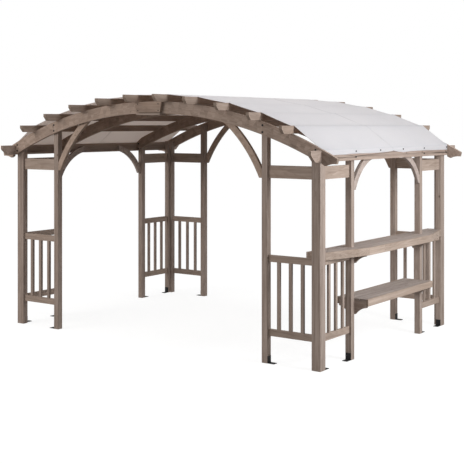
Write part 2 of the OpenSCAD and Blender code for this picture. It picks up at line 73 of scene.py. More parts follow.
# Arcs of the braces: height of the centre, radius, and how far off the middle the side ones have it
BRACE_Z, BRACE_R = 1.168, 1.524
SIDE_BRACE_Z, SIDE_BRACE_R, SIDE_BRACE_Y = 1.447, 0.569, 0.226

# Rails run along Y beyond this X, and edge boards run along Y within this Y
RAIL_TURN_X = 1.975
EDGE_TURN_Y = 1.3275

# Canopy: how far it reaches from the middle, and the lap of its two widths
CLOTH_Y = HALF_D + 0.0138
SEAM_LO, SEAM_HI = 0.004, 0.030
SEAM_FADE = 0.003

WHITE = (1.0, 1.0, 1.0)


def arch_top(x):
    return ARC_Z + math.sqrt(ARC_OUT * ARC_OUT - x * x)


def purlin_x(i):
    return ARC_OUT * math.sin(PURLIN_STEP * (i + 0.5))


def purlin_top(i):
    return arch_top(purlin_x(i)) + PURLIN_H


def sign(v):
    return 1.0 if v > 0 else -1.0


# Camera at the photograph's place
CAMERA_PLACE = (6.9467, -9.6706, 2.3185)
CAMERA_TURN = 35.58
CAMERA_LENS = 79.51
CAMERA_SHIFT = -0.2324


def camera():
    lens = bpy.data.cameras.new("camera")
    lens.sensor_width = 36.0
    lens.lens = CAMERA_LENS
    lens.shift_y = CAMERA_SHIFT
    lens.clip_end = 200.0
    ob = bpy.data.objects.new("camera", lens)
    ob.location = CAMERA_PLACE
    ob.rotation_euler = (math.radians(90.0), 0.0, math.radians(CAMERA_TURN))
    bpy.context.scene.collection.objects.link(ob)
    bpy.context.scene.camera = ob


camera()


class Graph:
    """Node tree of a material, a group or the world, called g below."""

    def __init__(self, tree):
        self.tree = tree

    def add(self, kind, **values):
        node = self.tree.nodes.new(kind)
        for key, value in values.items():
            setattr(node, key, value)
        return node

    def put(self, socket, value):
        """Links a socket to another one, or gives it a value."""
        if value is None:
            return
        if isinstance(value, bpy.types.NodeSocket):
            self.tree.links.new(value, socket)
        else:
            socket.default_value = value

    def math(self, op, a, b=None, c=None):
        node = self.add("ShaderNodeMath", operation=op)
        for i, v in enumerate((a, b, c)):
            self.put(node.inputs[i], v)
        return node.outputs[0]

    def plus(self, a, b):
        return self.math("ADD", a, b)

    def minus(self, a, b):
        return self.math("SUBTRACT", a, b)

    def times(self, a, b):
        return self.math("MULTIPLY", a, b)

    def absolute(self, a):
        return self.math("ABSOLUTE", a)

    def vmath(self, op, a, b=None, scale=None):
        node = self.add("ShaderNodeVectorMath", operation=op)
        self.put(node.inputs[0], a)
        self.put(node.inputs[1], b)
        if scale is not None:
            self.put(node.inputs["Scale"], scale)
        return node.outputs["Value"] if op in ("DOT_PRODUCT", "LENGTH") else node.outputs["Vector"]

    def stretch(self, v, scales):
        return self.vmath("MULTIPLY", v, scales)

    def scale(self, v, by):
        return self.vmath("SCALE", v, scale=by)

    def split(self, v):
        node = self.add("ShaderNodeSeparateXYZ")
        self.put(node.inputs[0], v)
        return node.outputs[0], node.outputs[1], node.outputs[2]

    def join(self, x, y, z):
        node = self.add("ShaderNodeCombineXYZ")
        for i, v in enumerate((x, y, z)):
            self.put(node.inputs[i], v)
        return node.outputs[0]

    def place(self):
        return self.add("ShaderNodeTexCoord").outputs["Object"]

    def noise(self, vec, detail, rough=0.5):
        node = self.add("ShaderNodeTexNoise")
        self.put(node.inputs["Vector"], vec)
        self.put(node.inputs["Scale"], 1.0)
        self.put(node.inputs["Detail"], detail)
        self.put(node.inputs["Roughness"], rough)
        return node.outputs[0]

    def step(self, v, lo, hi, a=0.0, b=1.0):
        """Smooth change from a to b as v goes from lo to hi."""
        node = self.add("ShaderNodeMapRange", interpolation_type="SMOOTHSTEP")
        for i, x in enumerate((v, lo, hi, a, b)):
            self.put(node.inputs[i], x)
        return node.outputs[0]

    def mix(self, fac, a, b, blend="MIX"):
        node = self.add("ShaderNodeMix", data_type="RGBA", blend_type=blend)
        self.put(node.inputs[0], fac)
        self.put(node.inputs[6], a)
        self.put(node.inputs[7], b)
        return node.outputs[2]

    def shade(self, color, value):
        """Multiplies a colour by a grey value."""
        return self.mix(1.0, color, self.join(value, value, value), "MULTIPLY")

    def ramp(self, fac, stops):
        node = self.add("ShaderNodeValToRGB")
        self.put(node.inputs[0], fac)
        elements = node.color_ramp.elements
        while len(elements) < len(stops):
            elements.new(0.5)
        for element, (position, color) in zip(elements, stops):
            element.position = position
            element.color = (*color, 1.0)
        return node.outputs[0]

    def bump(self, height, strength, distance):
        node = self.add("ShaderNodeBump")
        self.put(node.inputs["Strength"], strength)
        self.put(node.inputs["Distance"], distance)
        self.put(node.inputs["Height"], height)
        return node.outputs[0]

    def seen(self):
        """1 for what the camera sees straight, in a reflection or through glass."""
        path = self.add("ShaderNodeLightPath").outputs
        mirrored = self.math("MAXIMUM", path["Is Glossy Ray"], path["Is Transmission Ray"])
        return self.math("MAXIMUM", path["Is Camera Ray"], mirrored)


def new_material(name, rough, spec):
    material = bpy.data.materials.new(name)
    material.use_nodes = True
    shader = material.node_tree.nodes["Principled BSDF"]
    shader.inputs["Roughness"].default_value = rough
    shader.inputs["Specular IOR Level"].default_value = spec
    return material, Graph(material.node_tree), shader


# Stained sawn timber: the first coordinate runs along the grain and the others across it, in metres
STAIN = [
    (0.30, (0.185, 0.138, 0.113)),
    (0.50, (0.290, 0.226, 0.192)),
    (0.64, (0.355, 0.281, 0.242)),
    (0.84, (0.440, 0.358, 0.315)),
]
END_STAIN = [
    (0.0, (0.200, 0.152, 0.124)),
    (0.7, (0.300, 0.240, 0.204)),
    (1.0, (0.235, 0.182, 0.152)),
]
STAIN_SHIFT = -0.27
WARM_STAIN = (0.320, 0.235, 0.185, 1.0)
HALO_STAIN = (0.215, 0.155, 0.120, 1.0)
KNOT_STAIN = (0.075, 0.052, 0.040, 1.0)

# Layers of the grain: stretch along it and across it, detail, roughness
RING_FIELD = (0.45, 6.0, 2.0, 0.45)
FIBRE = (5.0, 330.0, 2.0, 0.6)
STREAK = (1.1, 55.0, 3.0, 0.6)
BAND = (0.9, 26.0, 2.0, 0.5)
BLOTCH = (2.2, 7.0, 3.0, 0.6)
WARMTH = (1.0, 4.0, 2.0, 0.5)
END_FIELD = (20.0, 26.0, 1.0, 0.5)
RING_COUNT = 26.0
END_RING_COUNT = 14.0

# Knots: cells for each metre along and across, chance that a cell has one, and sizes in metres
KNOT_CELLS = (2.1, 8.0, 5.0)
KNOT_SHAPE = (0.75, 1.0, 0.25)
KNOT_CHANCE = 0.45
KNOT_LEAST, KNOT_MORE = 0.0045, 0.006
KNOT_WOBBLE = 0.004
HALO_REACH = 0.045

TIMBER_SOCKETS = [
    ("Grain", "INPUT", "Vector"),
    ("Along", "INPUT", "Vector"),
    ("Tint", "INPUT", "Color"),
    ("Color", "OUTPUT", "Color"),
    ("Roughness", "OUTPUT", "Float"),
    ("Height", "OUTPUT", "Float"),
]


def layer(g, p, along, across, detail, rough):
    """Noise stretched along the grain."""
    return g.noise(g.stretch(p, (along, across, across)), detail, rough)


def knots(g, p):
    """Masks of the knots and of the halo round them. A knot is a branch end that runs through the board."""
    spot = g.stretch(p, KNOT_CELLS)
    cells = g.add("ShaderNodeTexVoronoi")
    g.put(cells.inputs["Scale"], 1.0)
    g.put(cells.inputs["Vector"], spot)
    away = g.vmath("DIVIDE", g.vmath("SUBTRACT", spot, cells.outputs["Position"]), KNOT_CELLS)
    wobble = g.minus(g.noise(g.scale(p, 70.0), 1.0), 0.5)
    distance = g.plus(g.vmath("LENGTH", g.stretch(away, KNOT_SHAPE)), g.times(wobble, KNOT_WOBBLE))
    chance, width = g.split(cells.outputs["Color"])[:2]
    present = g.math("GREATER_THAN", chance, 1.0 - KNOT_CHANCE)
    radius = g.math("MULTIPLY_ADD", width, KNOT_MORE, KNOT_LEAST)
    knot = g.times(present, g.step(g.math("DIVIDE", distance, radius), 1.25, 0.75))
    halo = g.times(present, g.step(distance, HALO_REACH, 0.0))
    return knot, halo


def growth_rings(g, p, halo):
    """Rings as contour lines of a stretched field, bent round the knots."""
    field = g.plus(layer(g, p, *RING_FIELD), g.times(halo, 0.10))
    rings = g.math("FRACT", g.times(field, RING_COUNT))
    return g.times(g.step(rings, 0.0, 0.72), g.step(rings, 1.0, 0.90))


def end_grain(g, p):
    """Short ring marks of a sawn end."""
    rings = g.math("FRACT", g.times(layer(g, p, *END_FIELD), END_RING_COUNT))
    return g.ramp(rings, END_STAIN)


def timber_group():
    t = bpy.data.node_groups.new("sawn_timber", "ShaderNodeTree")
    for name, way, kind in TIMBER_SOCKETS:
        t.interface.new_socket(name, in_out=way, socket_type="NodeSocket" + kind)
    g = Graph(t)
    given = g.add("NodeGroupInput").outputs
    result = g.add("NodeGroupOutput").inputs
    solid = g.add("ShaderNodeNewGeometry").outputs
    seed = solid["Random Per Island"]
    shift = g.scale((7.3, 3.1, 5.7), g.times(seed, 13.0))
    p = g.vmath("ADD", given["Grain"], shift)

    knot, halo = knots(g, p)
    rings = growth_rings(g, p, halo)
    fibre = layer(g, p, *FIBRE)
    streak = layer(g, p, *STREAK)
    band = layer(g, p, *BAND)
    blotch = layer(g, p, *BLOTCH)
    warm = layer(g, g.vmath("ADD", p, (9.0, 1.0, 0.5)), *WARMTH)

    value = STAIN_SHIFT
    for part, share in ((rings, 0.10), (fibre, 0.30), (streak, 0.38), (band, 0.46), (blotch, 0.44)):
        value = g.plus(value, g.times(part, share))
    color = g.ramp(value, STAIN)
    color = g.mix(g.times(g.step(warm, 0.50, 0.72), 0.30), color, WARM_STAIN)
    color = g.mix(g.times(halo, 0.30), color, HALO_STAIN)
    color = g.mix(g.times(knot, 0.80), color, KNOT_STAIN)
    # Each board takes the stain a little differently
    color = g.shade(color, g.math("MULTIPLY_ADD", seed, 0.16, 0.92))
    # Sawn ends show ring marks instead of streaks
    facing = g.absolute(g.vmath("DOT_PRODUCT", solid["True Normal"], given["Along"]))
    color = g.mix(g.step(facing, 0.55, 0.80), color, end_grain(g, p))

    height = g.plus(g.times(fibre, 0.7), g.times(streak, 0.35))
    height = g.plus(height, g.times(rings, 0.18))
    height = g.minus(height, g.times(knot, 0.25))
    g.put(result["Color"], g.mix(1.0, color, given["Tint"], "MULTIPLY"))
    g.put(result["Roughness"], g.math("MULTIPLY_ADD", streak, 0.22, 0.62))
    g.put(result["Height"], height)
    return t


TIMBER = timber_group()


def straight(axis):
    """Lay of boards that run along one axis."""
    def lay(g, x, y, z):
        if axis == "X":
            return g.join(x, y, z), (1.0, 0.0, 0.0)
        if axis == "Y":
            return g.join(y, x, z), (0.0, 1.0, 0.0)
        return g.join(z, x, y), (0.0, 0.0, 1.0)
    return lay


def turned(test, limit, axis):
    """Lay of boards that run along Y where their distance from the middle passes a test, and else along X."""
    def lay(g, x, y, z):
        side = g.math(test, g.absolute(x if axis == "X" else y), limit)
        grain_x, along_x = straight("X")(g, x, y, z)
        grain_y, along_y = straight("Y")(g, x, y, z)
        return g.mix(side, grain_x, grain_y), g.mix(side, (*along_x, 1.0), (*along_y, 1.0))
    return lay


def bent(plane, centre, radius, shift=0.0):
    """Lay of boards that follow an arc in the plane XZ or YZ, alike on both sides of the middle."""
    def lay(g, x, y, z):
        a, b = (x, y) if plane == "XZ" else (y, x)
        a = g.minus(a, g.times(g.math("SIGN", a), shift))
        dz = g.minus(z, centre)
        r = g.math("SQRT", g.plus(g.times(a, a), g.times(dz, dz)))
        run = g.times(g.math("ARCTAN2", a, dz), radius)
        ta = g.math("DIVIDE", dz, r)
        tz = g.math("DIVIDE", g.times(a, -1.0), r)
        along = g.join(ta, 0.0, tz) if plane == "XZ" else g.join(0.0, ta, tz)
        return g.join(run, r, b), along
    return lay


# Between these distances from the middle along Y a board goes over to its darker tint under the canopy,
# painted shade of the canopy
PAINTED_SHADE_OUT, PAINTED_SHADE_IN = HALF_D + 0.02, HALF_D - 0.04


def wood(name, lay, tint=WHITE, painted_shade_tint=None):
    """lay gives the grain's coordinates and direction, and the last argument is the darker tint under the
    canopy, painted shade.
    """
    material, g, shader = new_material(name, 0.75, 0.25)
    x, y, z = g.split(g.place())
    grain, along = lay(g, x, y, z)
    grown = g.add("ShaderNodeGroup", node_tree=TIMBER)
    g.put(grown.inputs["Grain"], grain)
    g.put(grown.inputs["Along"], along)
    g.put(grown.inputs["Tint"], (*tint, 1.0))
    if painted_shade_tint is not None:
        # Painted shade: the board darkens where the canopy covers it
        under = g.step(g.absolute(y), PAINTED_SHADE_OUT, PAINTED_SHADE_IN)
        g.put(grown.inputs["Tint"], g.mix(under, (*tint, 1.0), (*painted_shade_tint, 1.0)))
    g.put(shader.inputs["Base Color"], grown.outputs["Color"])
    g.put(shader.inputs["Roughness"], grown.outputs["Roughness"])
    g.put(shader.inputs["Normal"], g.bump(grown.outputs["Height"], 0.55, 0.0012))
    return material


# Powder-coated steel with a fine peel and a little dust
STEEL = [
    (0.35, (0.006, 0.006, 0.006)),
    (0.62, (0.012, 0.011, 0.011)),
    (0.85, (0.030, 0.027, 0.024)),
]


def steel_material():
    material, g, shader = new_material("powder_coated_steel", 0.6, 0.25)
    place = g.place()
    peel = g.noise(g.scale(place, 900.0), 2.0)
    dust = g.noise(g.scale(place, 26.0), 4.0, 0.6)
    g.put(shader.inputs["Base Color"], g.ramp(dust, STEEL))
    g.put(shader.inputs["Roughness"], g.math("MULTIPLY_ADD", dust, 0.30, 0.48))
    g.put(shader.inputs["Normal"], g.bump(peel, 0.25, 0.0003))
    return material


# Canopy cloth
CLOTH_COLOR = (0.590, 0.602, 0.640, 1.0)
CLOTH_GLOW = (0.95, 0.85, 0.78, 1.0)
CLOTH_LET_THROUGH = 0.37
THREADS = 3500.0  # radians a metre, so threads about 1.8 mm apart
STITCHES = 1500.0
STITCH_HALF = 0.0008
SEAM_INSET = 0.004
EDGE_INSET = 0.024


def cloth_weave(g, place):
    """Plain weave and the thicker threads in it."""
    x, y, z = g.split(place)
    warp = g.math("SINE", g.times(g.plus(x, g.times(z, 0.35)), THREADS))
    weft = g.math("SINE", g.times(y, THREADS))
    slub = g.noise(g.stretch(place, (40.0, 420.0, 40.0)), 2.0)
    return g.times(warp, weft), slub


def cloth_wear(g, place, weave, slub):
    """Brightness of the cloth with its threads, clouds and dirt."""
    cloud = g.noise(g.scale(place, 1.7), 4.0, 0.6)
    dirt = g.noise(g.vmath("ADD", g.scale(place, 6.0), (3.0, 1.0, 8.0)), 5.0, 0.65)
    v = g.plus(g.times(weave, 0.020), g.times(slub, 0.05))
    v = g.plus(v, g.times(cloud, 0.07))
    v = g.minus(v, g.times(g.step(dirt, 0.55, 0.80), 0.03))
    return g.plus(v, 0.935)


def cloth_bend_shade(g, v, from_middle):
    """Darker lines where the cloth bends over the edges of the purlins: painted shade of the bends."""
    for i in range(PURLIN_PAIRS):
        from_purlin = g.absolute(g.minus(from_middle, purlin_x(i)))
        from_edge = g.absolute(g.minus(from_purlin, PURLIN_T / 2))
        v = g.minus(v, g.times(g.step(from_edge, 0.010, 0.0), 0.035))
    return v


def cloth_seams(g, v, place):
    """Darker band at the lap of the two widths of cloth, painted shade of its step and puckers, and the lines
    of stitches at the lap and along the hems.
    """
    x, y = g.split(place)[:2]
    lap_shade = g.times(g.step(y, SEAM_LO - SEAM_FADE, SEAM_LO), g.step(y, SEAM_HI + SEAM_FADE, SEAM_HI))
    lap_shade_strength = g.noise(g.stretch(place, (3.0, 1.0, 1.0)), 2.0)
    # Painted shade along the lap, stronger in some places
    v = g.minus(v, g.times(lap_shade, g.step(lap_shade_strength, 0.42, 0.64, 0.035, 0.15)))
    dash = g.math("GREATER_THAN", g.math("SINE", g.times(x, STITCHES)), -0.3)
    lines = [
        (y, SEAM_LO + SEAM_INSET, 0.18),
        (y, SEAM_HI - SEAM_INSET, 0.18),
        (g.absolute(y), CLOTH_Y - EDGE_INSET, 0.14),
    ]
    for across, at, depth in lines:
        line = g.math("LESS_THAN", g.absolute(g.minus(across, at)), STITCH_HALF)
        v = g.minus(v, g.times(g.times(line, dash), depth))
    return v


def cloth_material():
    material, g, shader = new_material("canopy_cloth", 0.9, 0.12)
    place = g.place()
    x, _, z = g.split(place)
    from_middle = g.absolute(x)
    weave, slub = cloth_weave(g, place)
    v = cloth_bend_shade(g, cloth_wear(g, place, weave, slub), from_middle)
    # The hem is doubled, so it looks brighter
    doubled = g.times(g.math("GREATER_THAN", from_middle, BEAM_OUT), g.math("LESS_THAN", z, BEAM_TOP))
    v = g.plus(v, g.times(doubled, 0.10))
    v = cloth_seams(g, v, place)
    g.put(shader.inputs["Base Color"], g.shade(CLOTH_COLOR, v))
    g.put(shader.inputs["Normal"], g.bump(g.plus(g.times(weave, 0.3), slub), 0.35, 0.0006))
    g.put(shader.inputs["Sheen Weight"], 0.10)
    # Some daylight comes through the cloth
    through = g.add("ShaderNodeBsdfTranslucent")
    g.put(through.inputs["Color"], g.shade(CLOTH_GLOW, v))
    both = g.add("ShaderNodeMixShader")
    g.put(both.inputs[0], CLOTH_LET_THROUGH)
    g.put(both.inputs[1], shader.outputs[0])
    g.put(both.inputs[2], through.outputs[0])
    g.put(material.node_tree.nodes["Material Output"].inputs[0], both.outputs[0])
    return material


# Each kind of board has the shared grain, laid its own way, and its own tint
ARCH = bent("XZ", ARC_Z, ARC_MID)
ARCH_BRACE = bent("XZ", BRACE_Z, BRACE_R)
SIDE_BRACE = bent("YZ", SIDE_BRACE_Z, SIDE_BRACE_R, SIDE_BRACE_Y)
MATS = {
    "posts": wood("timber_posts", straight("Z")),
    # Both arch tints are warm like the arches' stain; the left halves are lighter as painted light and the
    # right halves darker as painted shade
    "arches_left": wood("timber_arches_left_painted_light", ARCH, (1.06, 1.01, 0.96)),
    "arches_right": wood("timber_arches_right_painted_shade", ARCH, (0.96, 0.92, 0.88)),
    # The inner arches' darker tints are painted shade of the canopy over them
    "inner_left": wood("timber_inner_arches_left_painted_shade", ARCH, (0.77, 0.70, 0.64)),
    "inner_right": wood("timber_inner_arches_right_painted_shade", ARCH, (0.80, 0.75, 0.70)),
    "purlins": wood("timber_purlins", straight("Y"), (0.96, 0.93, 0.89), painted_shade_tint=(0.82, 0.76, 0.70)),
    "beams": wood("timber_eave_beams", straight("Y"), (1.03, 1.0, 0.98)),
    "splices": wood("timber_splice_plates", straight("X"), (0.90, 0.84, 0.78)),
    "arch_braces": wood("timber_arch_braces", ARCH_BRACE, (1.16, 1.10, 1.03)),
    "side_braces": wood("timber_side_braces", SIDE_BRACE, (1.19, 1.23, 1.29)),
    "rails": wood("timber_rails", turned("GREATER_THAN", RAIL_TURN_X, "X"), (1.05, 1.03, 1.0)),
    "across": wood("timber_across", straight("X")),
    "deck": wood("timber_deck", straight("Y"), (1.06, 1.11, 1.17)),
    "edges": wood("timber_edges", turned("LESS_THAN", EDGE_TURN_Y, "Y"), (1.10, 1.08, 1.04)),
    "steel": steel_material(),
    "cloth": cloth_material(),
}

# The kinds of material by how the names of their nodes start; the first that fits counts
KINDS = {
    "steel": ("canopy_screws", "foot_", "arch_bolts", "beam_bolts", "splice_screws"),
    "posts": ("corner_", "wing_", "side_post", "balusters"),
    "inner": ("arch_mid",),
    "arches": ("arch_front", "arch_rear"),
    "purlins": ("purlins",),
    "beams": ("eave_beam",),
    "splices": ("splice_plates",),
    "arch_braces": ("arch_braces",),
    "side_braces": ("side_braces",),
    "rails": ("cross_rails", "railing"),
    "across": ("corbels", "counter_battens", "shelf_battens"),
    "deck": ("counter_boards", "shelf_boards"),
    "edges": ("counter_edges", "shelf_edges"),
    "cloth": ("canopy",),
}
WELD = 0.00002  # points closer than this are one
EASE = 0.0022  # width of the eased edges of the timber


def kind_of(name):
    kind = next(k for k, starts in KINDS.items() if name.startswith(starts))
    if kind in ("inner", "arches"):
        return kind + ("_left" if name.endswith("_l") else "_right")
    return kind


def ease_edges(ob, width):
    soft = ob.modifiers.new("eased_edges", "BEVEL")
    soft.width = width
    soft.segments = 2
    soft.limit_method = "ANGLE"
    soft.angle_limit = math.radians(35)


def dress_nodes():
    for name, ob in NODES.items():
        kind = kind_of(name)
        ob.data.materials.clear()
        ob.data.materials.append(MATS[kind])
        if kind not in ("cloth", "steel"):
            weld = ob.modifiers.new("weld", "WELD")
            weld.merge_threshold = WELD
            ease_edges(ob, EASE)


dress_nodes()


def piece(name, bm, material, smooth=False):
    mesh = bpy.data.meshes.new(name)
    bm.to_mesh(mesh)
    bm.free()
    for face in mesh.polygons:
        face.use_smooth = smooth
    mesh.materials.append(material)
    ob = bpy.data.objects.new(name, mesh)
    bpy.context.scene.collection.objects.link(ob)
    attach(ob, "root")
    return ob


# Bolt and screw heads: profiles are lists of (radius, height above the seat)
WASHER = [(0.0, 0.0), (0.0102, 0.0), (0.0106, 0.0004), (0.0106, 0.0012), (0.0100, 0.0016), (0.0, 0.0016)]
BOLT_FACE = [(0.0050, 0.0069), (0.0048, 0.0072), (0.0, 0.0073)]
THIN_WASHER = [(0.0, 0.0), (0.0094, 0.0), (0.0094, 0.0010), (0.0078, 0.0014)]
ROUND_HEAD = [
    (0.0078, 0.0012), (0.0074, 0.0034), (0.0056, 0.0054),
    (0.0026, 0.0063), (0.0018, 0.0048), (0.0, 0.0047),
]
PAN_HEAD = [
    (0.0, 0.0), (0.0060, 0.0), (0.0060, 0.0008), (0.0052, 0.0021),
    (0.0034, 0.0029), (0.0022, 0.0030), (0.0015, 0.0019), (0.0, 0.0018),
]
SUNK_HEAD = [
    (0.0, -0.0010), (0.0036, -0.0010), (0.0036, 0.0004),
    (0.0026, 0.0010), (0.0012, 0.0004), (0.0, 0.0003),
]
HEX_R = 0.0082
HEX_TOP_R = 0.90 * HEX_R
HEX_FOOT, HEX_TOP, HEX_CHAMFER = 0.0014, 0.0070, 0.0008

# Heads between these distances from the middle lie on the inner faces of the corner posts
INSIDE_Y = (1.25, 1.35)


def islands(node):
    """Boxes of the separate solids of a node."""
    bm = bmesh.new()
    bm.from_mesh(NODES[node].data)
    bmesh.ops.remove_doubles(bm, verts=bm.verts, dist=WELD)
    seen, boxes = set(), []
    for v in bm.verts:
        if v.index in seen:
            continue
        stack, group = [v], []
        seen.add(v.index)
        while stack:
            a = stack.pop()
            group.append(a.co.copy())
            for b in (e.other_vert(a) for e in a.link_edges):
                if b.index not in seen:
                    seen.add(b.index)
                    stack.append(b)
        lo = Vector([min(c[i] for c in group) for i in range(3)])
        hi = Vector([max(c[i] for c in group) for i in range(3)])
        boxes.append((lo, hi))
    bm.free()
    return sorted(boxes, key=lambda b: tuple(round(c, 4) for c in b[0]))


def ring(bm, origin, axis, radius, height, sides):
    """Ring of points round the axis, or a single point where the radius is nil."""
    centre = origin + axis * height
    if radius == 0.0:
        return [bm.verts.new(centre)]
    a = axis.orthogonal().normalized()
    b = axis.cross(a)
    points = []
    for k in range(sides):
        turn = 2 * math.pi * k / sides
        points.append(bm.verts.new(centre + (a * math.cos(turn) + b * math.sin(turn)) * radius))
    return points


def lathe(bm, origin, axis, profile, sides=20):
    """Adds a body of revolution."""
    rings = [ring(bm, origin, axis, r, h, sides) for r, h in profile]
    for lo, hi in zip(rings, rings[1:]):
        for k in range(max(len(lo), len(hi))):
            corners = [lo[k % len(lo)], lo[(k + 1) % len(lo)], hi[(k + 1) % len(hi)], hi[k % len(hi)]]
            corners = list(dict.fromkeys(corners))
            if len(corners) > 2:
                bm.faces.new(corners)


def hex_bolt(bm, seat, axis):
    lathe(bm, seat, axis, WASHER)
    sections = [(HEX_R, HEX_FOOT), (HEX_R, HEX_TOP - HEX_CHAMFER), (HEX_TOP_R, HEX_TOP)]
    rings = [ring(bm, seat, axis, r, h, 6) for r, h in sections]
    for lo, hi in zip(rings, rings[1:]):
        for k in range(6):
            bm.faces.new([lo[k], lo[(k + 1) % 6], hi[(k + 1) % 6], hi[k]])
    bm.faces.new(rings[-1])
    bm.faces.new(list(reversed(rings[0])))
    lathe(bm, seat, axis, BOLT_FACE)


def canopy_screw(bm, seat, axis):
    lathe(bm, seat, axis, THIN_WASHER)
    lathe(bm, seat, axis, ROUND_HEAD)


def pan_screw(bm, seat, axis):
    lathe(bm, seat, axis, PAN_HEAD)


def arch_seat(lo, hi):
    """Bolt heads lie on the outer faces of the outer arches, and on the inner ones towards the middle."""
    c = (lo + hi) / 2
    s = sign(c.y)
    if abs(c.y) > (HALF_D + INNER_ARCH_Y) / 2:
        return Vector((c.x, s * (HALF_D + BOARD), c.z)), Vector((0, s, 0))
    return Vector((c.x, s * INNER_ARCH_Y, c.z)), Vector((0, -s, 0))


def beam_seat(lo, hi):
    c = (lo + hi) / 2
    s = sign(c.x)
    return Vector((s * BEAM_OUT, c.y, c.z)), Vector((s, 0, 0))


def thin_seat(lo, hi):
    """Screw heads are thin along their axis. They face outwards, or the middle on some faces square to Y."""
    c = (lo + hi) / 2
    d = hi - lo
    if d.x < d.y:
        s = sign(c.x)
        return Vector((c.x - s * d.x / 2, c.y, c.z)), Vector((s, 0, 0))
    on_inner_arch = abs(c.y) < INNER_ARCH_Y
    inside_posts = INSIDE_Y[0] < abs(c.y) < INSIDE_Y[1]
    s = -sign(c.y) if on_inner_arch or inside_posts else sign(c.y)
    return Vector((c.x, c.y - s * d.y / 2, c.z)), Vector((0, s, 0))


def heads(name, node, seat_of, draw):
    """One detailed head in place of each plain one of a node."""
    bm = bmesh.new()
    for lo, hi in islands(node):
        seat, axis = seat_of(lo, hi)
        draw(bm, seat, axis)
    bmesh.ops.recalc_face_normals(bm, faces=bm.faces)
    ob = piece(name, bm, MATS["steel"])
    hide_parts(node)


heads("arch_bolt_heads", "arch_bolts", arch_seat, hex_bolt)
heads("beam_bolt_heads", "beam_bolts", beam_seat, hex_bolt)
heads("splice_screw_heads", "splice_screws", thin_seat, pan_screw)
heads("foot_screw_heads", "foot_screws", thin_seat, pan_screw)
heads("canopy_screw_heads", "canopy_screws", thin_seat, canopy_screw)


# Pairs of small screws through the outer edge of the counter
EDGE_SCREW_X = 2.2
EDGE_SCREW_Y = (0.376, 0.872)
EDGE_SCREW_Z = (1.054, 1.089)


def edge_screws():
    bm = bmesh.new()
    for y in sorted(side * at for side in (-1, 1) for at in EDGE_SCREW_Y):
        for z in EDGE_SCREW_Z:
            lathe(bm, Vector((EDGE_SCREW_X, y, z)), Vector((1, 0, 0)), SUNK_HEAD, sides=12)
    bmesh.ops.recalc_face_normals(bm, faces=bm.faces)
    piece("edge_screws", bm, MATS["steel"])


edge_screws()


# Thin boards that close the crown joints of the outer arches from below
STRIP_HALF = 0.160
STRIP_IN, STRIP_OUT = 0.030, 0.072
STRIP_Z = (2.413, 2.4325)


def crown_strips():
    bm = bmesh.new()
    for end in (-1, 1):
        near, far = sorted((end * (HALF_D + STRIP_OUT), end * (HALF_D - STRIP_IN)))
        corners = [(x, y, z) for x in (-STRIP_HALF, STRIP_HALF) for y in (near, far) for z in STRIP_Z]
        v = [bm.verts.new(c) for c in corners]
        for q in ((0, 1, 3, 2), (4, 6, 7, 5), (0, 4, 5, 1), (2, 3, 7, 6), (0, 2, 6, 4), (1, 5, 7, 3)):
            bm.faces.new([v[k] for k in q])
    bmesh.ops.recalc_face_normals(bm, faces=bm.faces)
    ease_edges(piece("crown_strips", bm, MATS["across"]), 0.002)


crown_strips()


# Canopy: one sheet over the purlins, sagging between them, with a hem on each eave beam
SAG = 0.003
CLOTH_T = 0.0016
CLOTH_LIFT = FIT + 0.0010  # middle of the cloth above the timber
SEAM_LIFT = 0.0012  # how much higher the lap lies
SEAM_STEP = 0.002  # width of the slope beside the lap
SEAM_CLEAR = 0.006  # how far the even rows stay off the lap
FREE_LIFT = 0.002  # how much the free stretches swell
WAVE, CREASE = 0.0035, 0.0014  # heights of the slow waves and the small creases
EDGE_FADE = 0.12  # width of the calmer stretch at the front and rear edges
CORNER_X = 1.9  # past this the cloth's corners lie over the ends of the outer arches
CORNER_LIFT = 0.0014
NOTCH_Y = HALF_D - FIT
SCREW_Y = (0.2593, 0.778, 1.376)
SCREW_HOLD = 0.20  # how far a screw holds the hem down on each side
HEM = 0.044
HEM_WAVER = 0.004  # how much the hem on the open side goes up and down
HEM_OFF = 0.0010  # how far the hem stands off the beam at its screws
HEM_BULGE = 0.0055  # how much further it stands off between them
HEM_STEPS = 8
SPAN_STEPS = 12
END_SPAN_STEPS = 14
ROWS = 118

# Lower edge of the hem on the counter side: (y, drop below the top of the beam)
HEM_LINE = [
    (-1.40, 0.052), (-1.10, 0.047), (-0.76, 0.043), (-0.40, 0.045), (-0.12, 0.041),
    (-0.01, 0.036), (0.03, 0.029), (0.07, 0.037), (0.17, 0.046), (0.27, 0.051),
    (0.45, 0.045), (0.80, 0.043), (1.10, 0.046), (1.40, 0.047),
]


def span(a, b, count, first=0):
    """Points (x, z, slack) of a stretch that sags between a and b, with slack 1 at its middle."""
    points = []
    for t in (k / count for k in range(first, count)):
        slack = 4 * t * (1 - t)
        points.append((a[0] + (b[0] - a[0]) * t, a[1] + (b[1] - a[1]) * t - SAG * slack, slack))
    return points


